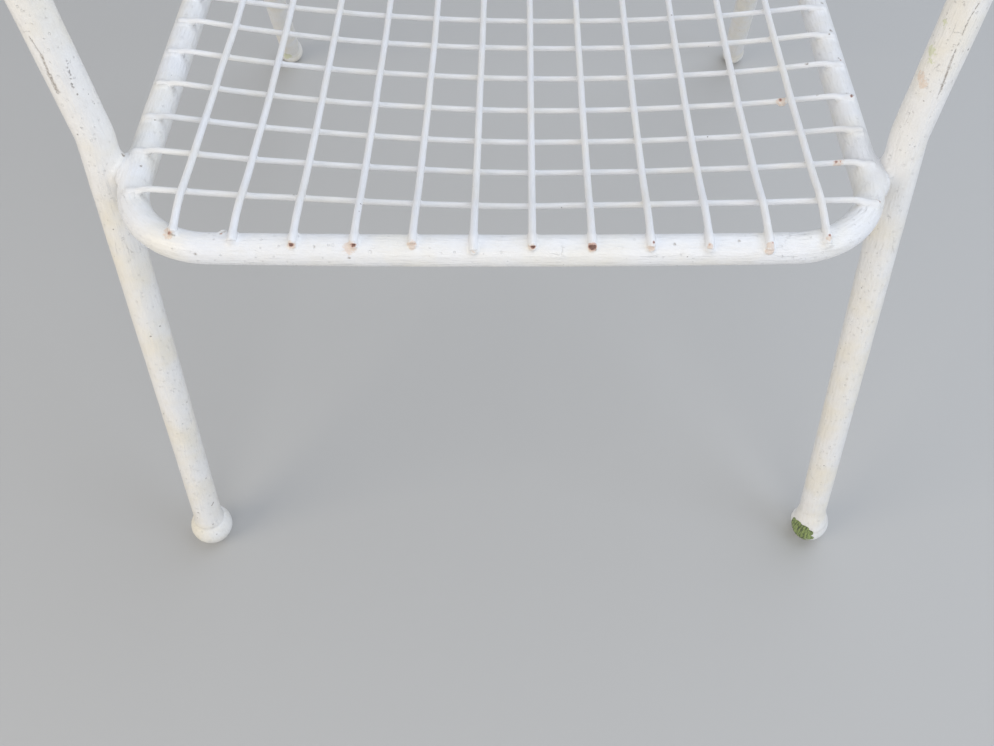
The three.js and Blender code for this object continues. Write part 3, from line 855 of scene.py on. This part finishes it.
def rear_leg_lines(side):
    joint = panel_point(side * RAIL, SEAT_LENGTH + REAR_TURN_SHARE * FOLD_LENGTH)
    up = -Vector((side * math.tan(REAR_SPLAY), math.tan(REAR_RAKE), -1.0)).normalized()
    foot = joint - up * (joint.z - REAR_FOOT_RADIUS + FOOT_FLAT) / up.z
    foot += Vector((REAR_FOOT_DRIFT[side], 0, 0))
    up = (joint - foot).normalized()
    end = foot - up * SOCKET_DEPTH
    return spaced(end, joint, TUBE_STEP) + [joint], foot, up


SIDES = ((-1, "left"), (1, "right"))
front_legs = {label: leg_lines(side) for side, label in SIDES}
rear_legs = {label: rear_leg_lines(side) for side, label in SIDES}
print("front foot", [round(v / MM, 1) for v in front_legs["right"][1]],
      "rear foot", [round(v / MM, 1) for v in rear_legs["right"][1]])

# %% [markdown]
# The wires were laid by hand, so no two lie quite true. Each row below gives one wire's stray from its
# even place, measured in the photograph, as shares of the spacing: cross wires from left to right, long
# wires from the front tube back to the bend. Between two shares the stray changes smoothly, as a
# slightly bent wire does.
# %% How the wires stray
CROSS_STRAY_SHARES = (
    (-0.12, -0.066, -0.022, -0.034, -0.047, -0.004, 0.003, -0.035, -0.084),
    (-0.058, -0.006, 0.039, 0.06, 0.039, 0.055, 0.049, 0.006, -0.044),
    (-0.076, -0.052, -0.021, -0.015, -0.029, -0.018, -0.028, -0.064, -0.092),
    (-0.065, -0.066, -0.062, -0.042, -0.052, -0.052, -0.056, -0.089, -0.103),
    (-0.034, -0.044, -0.037, -0.011, -0.015, -0.029, -0.039, -0.065, -0.059),
    (0.014, -0.009, -0.014, 0.009, 0.022, 0.004, -0.034, -0.08, -0.081),
    (-0.101, -0.07, -0.038, -0.012, -0.001, -0.009, -0.044, -0.093, -0.101),
)
LONG_STRAY_SHARES = (
    (-0.055, -0.06, -0.033, 0.009, 0.015, 0), (-0.037, -0.04, -0.01, 0.006, 0.007, 0),
    (-0.017, -0.037, -0.027, -0.012, -0.003, 0), (0.005, -0.017, -0.005, 0.016, 0.014, 0),
    (-0.009, -0.013, 0.007, 0.028, 0.024, 0), (0.015, 0.003, 0.004, 0.015, 0.013, 0),
    (0.006, 0.01, 0.008, 0.009, 0.006, 0), (0.014, 0.018, 0.011, 0.003, 0.001, 0),
    (0.007, 0.016, 0.005, -0.001, -0.001, 0), (0.002, 0.012, -0.004, -0.02, -0.015, 0),
    (0.017, 0.016, -0.009, -0.023, -0.016, 0), (0.018, 0.009, -0.02, -0.04, -0.028, 0),
)


def smooth_step(value, low, high):
    share = clamp((value - low) / (high - low), 0.0, 1.0)
    return share * share * (3 - 2 * share)


def stray_at(shares, along):
    place = clamp(along, 0.0, 1.0) * (len(shares) - 1)
    index = min(int(place), len(shares) - 2)
    blend = smooth_step(place - index, 0.0, 1.0)
    return WIRE_PITCH * (shares[index] + (shares[index + 1] - shares[index]) * blend)


largest_share = max(abs(share) for row in CROSS_STRAY_SHARES for share in row)
print("largest stray", round(largest_share * WIRE_PITCH / MM, 1), "mm")

# %% [markdown]
# The grid hangs between the rails as a shallow dish. A wire needs many stations near a crossing, where
# paint gathers, and few between, so its stations are packed round each crossing.
# %% Lines of the wires
END_SINK = 1.2 * MM
RAIL_SINK = 2.3 * MM
CUT_DROP = 0.9 * MM
CROSSING_SINK = 0.5 * MM
STATION_GAP = 0.04 * MM
# Over which lengths from a rail's or tube's middle a wire comes to rest on it
RAIL_SETTLE = (13.0 * MM, 2.0 * MM)
END_SETTLE = (2.0 * MM, 16.0 * MM)
CROSSING_OFFSETS = [offset * MM for offset in (-9, -6, -4.2, -2.8, -1.4, 0, 1.4, 2.8, 4.2, 6, 9, 14, 19, 24)]
END_OFFSETS = [
    offset * MM for offset in (0, 0.05, 0.15, 0.3, 0.6, 1, 1.4, 2, 3, 4.2, 5.6, 7, 8.5, 10, 13, 17, 22)]
# How far each long wire's front end lies past the middle of the front tube, in millimetres
FRONT_ENDS = (2.2, 4.4, 5.8, 5.8, 5.2, 8.6, 6.5, 6.7, 7.4, 8.6, 9.4, 8.8)


def growth(length):
    return 1 - math.exp(-((max(length, 0.0) / SAG_LENGTH) ** SAG_POWER))


def dish_height(x, run):
    across = min(1.0, abs(x) / rail_at(run))
    depth = GRID_SAG * growth(run - front_edge(x)) * growth(top_edge(x) - run)
    return FRAME_RADIUS + WIRE_RADIUS + CROWN_GAP - depth * (1 - across ** 2)


def cross_run(index):
    return FIRST_CROSS_WIRE + index * WIRE_PITCH


def cross_place(index, x):
    """Run of a cross wire where it passes the place x."""
    run = cross_run(index)
    slant = math.tan(CROSS_SKEW) if run < SEAT_LENGTH else 0.0
    place = run - x * slant
    if index < len(CROSS_STRAY_SHARES):
        place += stray_at(CROSS_STRAY_SHARES[index], (x / rail_at(run) + 1) / 2)
    return place


def long_place(wire, run):
    """Sideways place of a long wire at a run."""
    return wire * WIRE_PITCH - OUTER_WIRE + stray_at(LONG_STRAY_SHARES[wire], run / SEAT_LENGTH)


def thinned(places, low, high):
    places = sorted(p for p in places if low - MERGE_GAP <= p <= high + MERGE_GAP)
    return [p for i, p in enumerate(places) if not i or p - places[i - 1] > STATION_GAP]


def cross_line(index):
    rail = rail_at(cross_run(index))
    reach = rail + WIRE_END
    places = {-reach + offset for offset in END_OFFSETS}
    for wire in range(LONG_WIRES):
        places |= {long_place(wire, cross_run(index)) + offset for offset in CROSSING_OFFSETS}
    places |= {-place for place in places}
    line = []
    for x in thinned(places, -reach, reach):
        run = cross_place(index, x)
        sunk = WIRE_RADIUS - CROSS_RADIUS + CUT_DROP * smooth_step(abs(x), rail, reach)
        sunk += RAIL_SINK * smooth_step(abs(x), rail - RAIL_SETTLE[0], rail - RAIL_SETTLE[1])
        line.append(panel_point(x, run, dish_height(x, run) - sunk))
    return line


def long_line(wire):
    """From the front end back. Past the middle of the front tube the wire hugs the tube's round top."""
    first, last = front_edge(long_place(wire, 0.0)), top_edge(long_place(wire, PANEL_LENGTH))
    start, end = first - FRONT_ENDS[wire] * MM, last + WIRE_END
    runs = {start + d for d in END_OFFSETS} | {end - d for d in END_OFFSETS}
    for index in range(CROSS_WIRES):
        middle = cross_place(index, long_place(wire, cross_run(index)))
        runs |= {middle + offset for offset in CROSSING_OFFSETS}
    settle = FIRST_CROSS_WIRE - 2 * WIRE_RADIUS
    lift = 2 * WIRE_RADIUS + LAYER_GAP
    line = []
    for run in thinned(runs, start, end):
        x = long_place(wire, run)
        near = smooth_step(min(run - first, last - run), *END_SETTLE)
        rest = smooth_step(run - first, 0.0, settle) * smooth_step(last - run, 0.0, settle)
        height = dish_height(x, run) + lift * rest - END_SINK * (1 - near) - CROSSING_SINK * near
        past = max(0.0, first - run)
        line.append(panel_point(x, run, math.sqrt(height ** 2 - past ** 2) if past else height))
    return line


cross_lines = [cross_line(i) for i in range(CROSS_WIRES)]
long_lines = [long_line(i) for i in range(LONG_WIRES)]
print("wire stations", len(cross_lines[3]), len(long_lines[3]))

# %% [markdown]
# The wires were cut off blunt, and the cut ends chip first. These marks are placed from the ends just
# worked out, so they stay on the wires if an end moves. A mark further back lies on top of its wire.
# %% Chips on the cut ends
END_CHIPS = {
    # wire number, place beside and beyond the end in millimetres, reach in millimetres, strength
    "rust": (
        (1, -1.8, 0.9, 1.2, 0.72), (3, -0.4, 0.3, 1.4, 0.95), (4, 0.2, 0.0, 1.6, 0.85),
        (5, 1.6, -0.9, 0.8, 0.9), (7, 0.4, 0.0, 1.4, 1.0), (8, 0.0, -0.3, 2.3, 1.15),
        (9, 1.2, -3.0, 0.9, 0.9), (10, -0.6, -2.4, 0.8, 0.62), (11, 1.0, -4.4, 0.8, 0.7),
        (12, 0.4, -5.0, 1.0, 0.95),
    ),
    "stain": (
        (1, -2.4, 1.0, 3.4, 0.9), (3, -0.8, 0.8, 2.9, 0.9), (4, -2.8, 2.8, 4.4, 1.1),
        (5, -0.2, 0.2, 2.8, 1.0), (6, 0.0, 0.0, 2.0, 0.5), (7, -0.8, 0.4, 2.4, 0.8),
        (8, 0.4, 0.6, 3.2, 0.9), (9, -0.2, -0.6, 2.6, 0.9), (10, -0.4, -1.8, 1.7, 1.1),
        (11, 0.0, 0.2, 2.8, 1.1), (11, 0.2, -2.4, 2.6, 1.0), (12, 0.5, -3.0, 1.9, 0.9),
    ),
}
TOP_FROM = -1.0
INNER_STATION = 12
WIRE_TOP = Vector((0.0, -0.5, 0.86)) * LONG_RADIUS / MM
for kind, chips in END_CHIPS.items():
    for wire, beside, beyond, reach, strength in chips:
        end, inner = long_lines[wire - 1][0], long_lines[wire - 1][INNER_STATION]
        at = end / MM + Vector((beside, 0.0, 0.0)) + (end - inner).normalized() * beyond
        if beyond < TOP_FROM:
            at += WIRE_TOP
        MARKS[kind].append((*at, reach, strength))
print(sum(map(len, MARKS.values())), "marks")

frame_tree = line_tree([seat_line, back_line])
cross_tree = line_tree(cross_lines)
long_tree = line_tree(long_lines)

# %% [markdown]
# ## Seat and back frame
# The frame is one size of tube. Its two halves meet in the side rails, where a low bead covers the
# joint. Near each wire end the tube's skin rises into a fillet, and near a leg into the wide, soft web
# that the photograph shows beside the arm posts.
# %% Seat and back frame skins
FRAME_SIDES = 48
FRAME_LUMPS = (0.28 * MM, 16 * MM)
WIRE_FILLET = 2.8 * MM
CROSS_FILLET = 3.7 * MM
LEG_FILLET = 9.5 * MM
REAR_FILLET = 7.0 * MM
JOINT_BEAD = 0.5 * MM
BEAD_SPREAD = 2.4 * MM
# Weld spatter under the paint: behind the second long wire, and under the fourth cross wire
SPATTER = (Vector((-179.8, -365.9, 427.0)) * MM, Vector((204.4, -227.8, 415.4)) * MM)
SPATTER_RADIUS = 1.9 * MM
SPATTER_FILLET = 3.0 * MM
# Each weld bead's run, from its front to its rear end, in millimetres
WELD_RUNS = {"left": (66.0, 78.0), "right": (58.0, 74.0)}
WELD_OVERLAP = 0.6 * MM
WELD_RADIUS = 6.5 * MM
WELD_FILLET = 5.0 * MM


def beaded_radius(along, whole):
    edge = min(along, whole - along)
    return FRAME_RADIUS + JOINT_BEAD * math.exp(-((edge / BEAD_SPREAD) ** 2))


weld_place = RAIL + FRAME_RADIUS - WELD_OVERLAP
weld_lines = {}
for side, label in SIDES:
    weld_lines[label] = [panel_point(side * weld_place, run * MM) for run in WELD_RUNS[label]]
front_leg_tree = line_tree([front_legs[label][0] for _, label in SIDES])
rear_leg_tree = line_tree([rear_legs[label][0] for _, label in SIDES])
# What a skin can rise towards: tree, radius and reach of each neighbour
near_spatter = (tree_of(SPATTER), SPATTER_RADIUS, SPATTER_FILLET)
near_weld = (line_tree(weld_lines.values()), WELD_RADIUS, WELD_FILLET)
near_frame = [
    (cross_tree, CROSS_RADIUS, CROSS_FILLET), (long_tree, LONG_RADIUS, WIRE_FILLET), near_spatter, near_weld,
    (front_leg_tree, LEG_RADIUS, LEG_FILLET), (rear_leg_tree, LEG_RADIUS, REAR_FILLET)]
for node, line in (("seat_frame", seat_line), ("back_frame", back_line)):
    add_bar(node, line, beaded_radius, FRAME_SIDES, FRAME_RADIUS, near_frame, FRAME_LUMPS,
            frame_paint)
print(made[-2:])

# %% [markdown]
# ## Legs, posts and arms
# Each side is one long tube: it starts in the ball foot, bends outward just above the seat, turns back
# into the arm and ends on the back's upright. The end is drawn in slightly, as a coped end is.
# %% Leg and arm skins
LEG_SIDES = 52
LEG_LUMPS = (0.35 * MM, 18 * MM)
# Over what length a leg's top end is drawn in, and to what share of its radius
ARM_COPE = (20 * MM, 0.84)
REAR_COPE = (16 * MM, 0.86)
# Radius, sideways set and paint fillet of each ball foot, in millimetres
FEET = {
    "left_front_foot": (19.4, 0.0, 2.0), "right_front_foot": (17.6, 1.8, 6.0),
    "left_rear_foot": (16.0, 0.0, 2.6), "right_rear_foot": (14.7, 0.0, 3.0),
}
# How the leg meets its ball: a low ring of weld, and on the right front a flare of thick paint
NECK_RING = {"left_front": 0.7 * MM, "left_rear": 0.4 * MM, "right_rear": 0.4 * MM}
RING_RISE = 1.0 * MM
RING_SPREAD = 1.3 * MM
NECK_FLARE = {"right_front": 1.8 * MM}
FLARE_START = 2.0 * MM
FLARE_LEAD = 4.0 * MM
FLARE_FADE = 14.0 * MM


def foot_ball(node):
    """Centre and radius of a ball, the reach of its fillet, and its leg's tree."""
    label, end = node.split("_")[:2]
    legs, tree = (front_legs, front_leg_tree) if end == "front" else (rear_legs, rear_leg_tree)
    radius, aside, reach = (size * MM for size in FEET[node])
    foot = legs[label][1]
    return Vector((foot.x + aside, foot.y, radius - FOOT_FLAT)), radius, reach, tree


def near_foot(node):
    centre, radius, reach, _ = foot_ball(node)
    return tree_of([centre]), radius, reach


def drawn_in(cope, foot):
    """A leg's radius: drawn in at its top end, with a ring or flare where it meets its ball."""
    length, least = cope
    ball = FEET[f"{foot}_foot"][0] * MM
    neck = SOCKET_DEPTH + math.sqrt(ball ** 2 - LEG_RADIUS ** 2)

    def radius_at(along, whole):
        edge = whole - along
        radius = LEG_RADIUS * (1 - (1 - least) * (1 - smooth_step(edge, 0.0, length)))
        radius += NECK_RING.get(foot, 0.0) * math.exp(-(((along - neck - RING_RISE) / RING_SPREAD) ** 2))
        flare = smooth_step(along, FLARE_START, neck - FLARE_LEAD)
        flare = flare * (1 - smooth_step(along, neck, neck + FLARE_FADE))
        return radius + NECK_FLARE.get(foot, 0.0) * flare
    return radius_at


for _, label in SIDES:
    near_arm = [(frame_tree, FRAME_RADIUS, LEG_FILLET), near_weld, near_foot(f"{label}_front_foot")]
    add_bar(f"{label}_side_tube", front_legs[label][0], drawn_in(ARM_COPE, f"{label}_front"),
            LEG_SIDES, LEG_RADIUS, near_arm, LEG_LUMPS, leg_paint)
    near_leg = [(frame_tree, FRAME_RADIUS, REAR_FILLET), near_foot(f"{label}_rear_foot")]
    add_bar(f"{label}_rear_leg", rear_legs[label][0], drawn_in(REAR_COPE, f"{label}_rear"),
            LEG_SIDES, LEG_RADIUS, near_leg, LEG_LUMPS, leg_paint)
print(made[-4:])

# %% [markdown]
# ## Ball feet
# A ball foot is a hollow steel ball with the tube welded into it. We start from a UV sphere, flatten it
# where it stands, and let the paint fillet run up onto the tube. On the right front foot a thick drip
# of old paint hangs on the ball's side, over the place where the paint has come off.
# %% Ball feet
FOOT_LUMPS = (0.3 * MM, 9 * MM)
DRIP_FILLET = 3.0 * MM
DRIP = {"right_front_foot": (Vector((287.0, -366.0, 25.0)) * MM, 10.4 * MM)}


def face_outwards(bm):
    """The skin of a ball or bead faces away from its middle, which still lies at the origin."""
    lay, outward = add_vectors(bm)
    for vert in bm.verts:
        vert[outward] = vert.co.normalized()
        vert[lay] = vert.co


def ball_foot(node):
    centre, radius, reach, tree = foot_ball(node)
    bm = bmesh.new()
    bmesh.ops.create_uvsphere(bm, u_segments=112, v_segments=72, radius=radius)
    face_outwards(bm)
    bmesh.ops.translate(bm, verts=bm.verts, vec=centre)
    neighbours = [(tree, LEG_RADIUS, reach)]
    if node in DRIP:
        place, size = DRIP[node]
        neighbours.append((tree_of([place]), size, DRIP_FILLET))
    fillet(bm, neighbours)
    lump(bm, *FOOT_LUMPS)
    for vert in bm.verts:
        vert.co.z = max(vert.co.z, 0.0)
    return bm


for node in FEET:
    add_piece(f"{node}_painted", ball_foot(node), foot_paint, [node])
print(made[-4:])

# %% [markdown]
# ## Weld at the front legs
# A bead of weld fills the hollow between rail and leg. It starts as an icosphere and is drawn out along
# the rail. The skins of both tubes have already risen softly towards it, so only its swell shows.
# %% Leg welds
WELD_LUMPS = (0.6 * MM, 7 * MM)
for _, label in SIDES:
    front, rear = weld_lines[label]
    bm = bmesh.new()
    bmesh.ops.create_icosphere(bm, subdivisions=5, radius=0.5)
    size = Vector((2.0, 2.0, 2.0)) * WELD_RADIUS + Vector((0.0, (rear - front).length, 0.0))
    bmesh.ops.scale(bm, verts=bm.verts, vec=size)
    face_outwards(bm)
    bmesh.ops.rotate(bm, verts=bm.verts, cent=(0, 0, 0), matrix=Matrix.Rotation(-SEAT_SLOPE, 3, "X"))
    bmesh.ops.translate(bm, verts=bm.verts, vec=(front + rear) / 2)
    lump(bm, *WELD_LUMPS)
    add_piece(f"{label}_leg_weld_painted", bm, frame_paint, [f"{label}_leg_weld"])
print(made[-2:])

# %% [markdown]
# ## The wire grid
# Twelve wires run from the front tube over the seat and up the back, and twenty-three cross under them.
# Each is rolled as the tubes are, with rounded ends and paint fillets at every crossing.
# %% Wires
WIRE_SIDES = 14
WIRE_LUMPS = (0.16 * MM, 9 * MM)
WIRE_ROUNDING = 1.3 * MM
CROSSING_FILLET = 2.2 * MM
GRID = (
    ("cross", cross_lines, CROSS_RADIUS, [
        (long_tree, LONG_RADIUS, CROSSING_FILLET), (frame_tree, FRAME_RADIUS, CROSS_FILLET), near_spatter]),
    ("long", long_lines, LONG_RADIUS, [
        (cross_tree, CROSS_RADIUS, CROSSING_FILLET), (frame_tree, FRAME_RADIUS, WIRE_FILLET)]),
)
for kind, lines, radius, near_wire in GRID:
    for i, line in enumerate(lines):
        add_bar(f"{kind}_wire_{i + 1:02d}", line, plain_radius(radius, WIRE_ROUNDING), WIRE_SIDES,
                radius, near_wire, WIRE_LUMPS, wire_paint)
print(len(made), "pieces,", sum(count for _, count in made), "faces")
